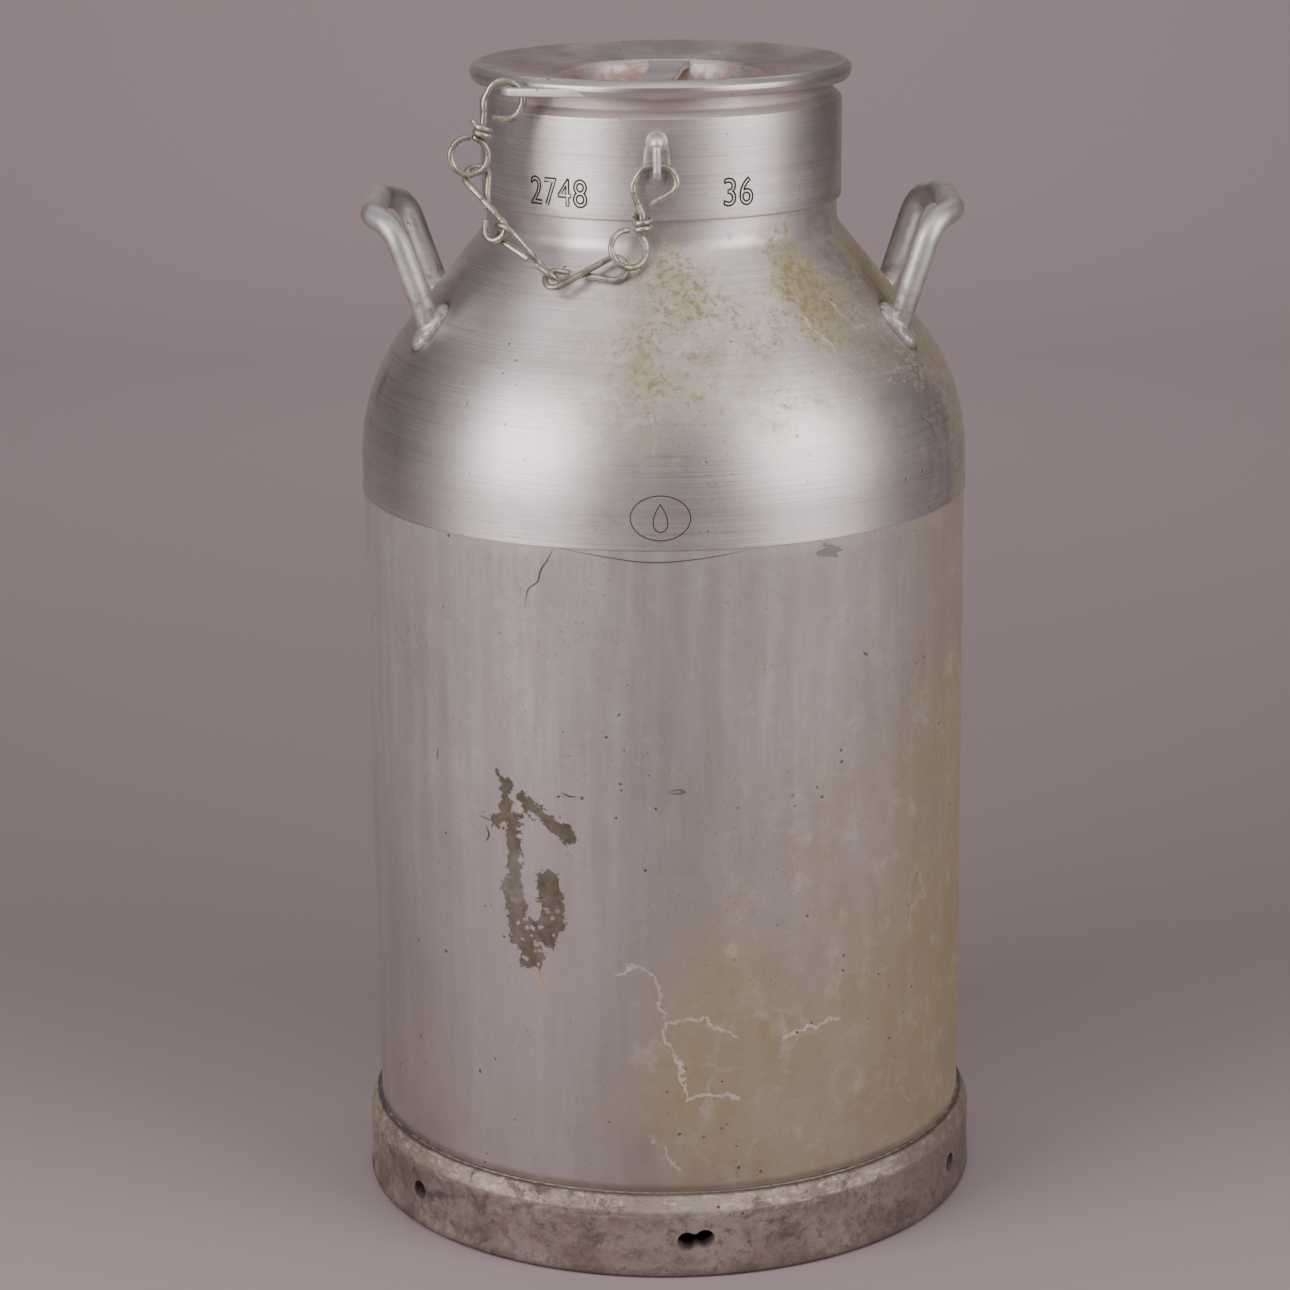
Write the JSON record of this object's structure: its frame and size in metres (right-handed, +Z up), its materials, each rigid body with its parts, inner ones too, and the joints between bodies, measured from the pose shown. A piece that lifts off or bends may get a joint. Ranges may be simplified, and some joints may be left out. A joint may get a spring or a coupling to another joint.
{
  "type": "milk can",
  "caption": "Tall aluminium dairy can with a heavy neck collar, two bent bar handles and a pressed lid held to the neck by a short chain of wire links.",
  "frame": {"origin": "centre of the foot ring at floor level", "axes": "+Z up, front with the chain eye toward -Y, handles on -X and +X"},
  "size_m": [0.3704, 0.3704, 0.6778],
  "materials": {
    "body": "satin",
    "turned": "brushed",
    "lid": "satin",
    "foot": "worn",
    "weld": "rough",
    "bar": "satin",
    "steel": "worn",
    "rubber": "matte"
  },
  "bodies": {
    "root": {"barrel": "body", "bottom": "body", "foot_ring": "foot", "foot_weld": "weld", "seam_weld": "weld", "shoulder": "body", "neck_collar": "turned", "neck_eye": "steel", "neck_eye_plate": "turned", "handle_left": "bar", "handle_right": "bar", "weld_pad_left_front": "weld", "weld_pad_left_back": "weld", "weld_pad_right_front": "weld", "weld_pad_right_back": "weld"},
    "lid": {"lid_cap": "lid", "lid_plug": "lid", "lid_gasket": "rubber", "lid_strap": "bar", "lid_lug": "bar"},
    "lid_hook": {"lid_hook": "steel"},
    "lid_swivel_ring": {"lid_swivel_ring": "steel"},
    "link_1": {"link_1": "steel"},
    "link_2": {"link_2": "steel"},
    "link_3": {"link_3": "steel"},
    "neck_swivel_ring": {"neck_swivel_ring": "steel"},
    "neck_hook": {"neck_hook": "steel"}
  },
  "joints": [
    {"name": "lid_lift", "type": "slide", "parent": "root", "child": "lid", "axis": [0, 0, 1], "range_m": [0, 0.045]},
    {"name": "neck_hook_swing", "type": "hinge", "parent": "root", "child": "neck_hook", "pos_m": [-0.0032, -0.10892, 0.61864], "axis": [0, 0.9962, -0.0872], "range_deg": [0, 28.67]},
    {"name": "neck_swivel_turn", "type": "hinge", "parent": "neck_hook", "child": "neck_swivel_ring", "pos_m": [-0.0112, -0.11063, 0.59911], "axis": [0, 0.0872, 0.9962], "range_deg": [-2, 0]},
    {"name": "link_3_turn", "type": "hinge", "parent": "neck_swivel_ring", "child": "link_3", "pos_m": [-0.01896, -0.1127, 0.58614], "axis": [0.3563, -0.873, 0.3329], "range_deg": [0, 9.09]},
    {"name": "link_2_turn", "type": "hinge", "parent": "link_3", "child": "link_2", "pos_m": [-0.05925, -0.11076, 0.56947], "axis": [-0.1422, -0.7588, 0.6357], "range_deg": [-2.65, 0]},
    {"name": "link_1_turn", "type": "hinge", "parent": "link_2", "child": "link_1", "pos_m": [-0.08786, -0.10004, 0.59281], "axis": [0.6576, 0.4117, 0.6309], "range_deg": [0, 3.51]},
    {"name": "lid_hook_swing", "type": "hinge", "parent": "lid", "child": "lid_hook", "pos_m": [-0.0869, -0.0837, 0.665], "axis": [0, 1, 0], "range_deg": [-10.54, 0]},
    {"name": "lid_swivel_turn", "type": "hinge", "parent": "lid_hook", "child": "lid_swivel_ring", "pos_m": [-0.09982, -0.0837, 0.6476], "axis": [0.1465, 0, 0.9892], "range_deg": [0, 11.94]}
  ],
  "couplings": [
    {"joint": "neck_hook_swing", "follows": "lid_lift", "rad_per_m": 11.1},
    {"joint": "neck_swivel_turn", "follows": "lid_lift", "rad_per_m": -0.7563},
    {"joint": "link_3_turn", "follows": "lid_lift", "rad_per_m": 3.5062},
    {"joint": "link_2_turn", "follows": "lid_lift", "rad_per_m": -1.0084},
    {"joint": "link_1_turn", "follows": "lid_lift", "rad_per_m": 1.342},
    {"joint": "lid_hook_swing", "follows": "lid_lift", "rad_per_m": -4.0686},
    {"joint": "lid_swivel_turn", "follows": "lid_lift", "rad_per_m": 4.6115}
  ]
}
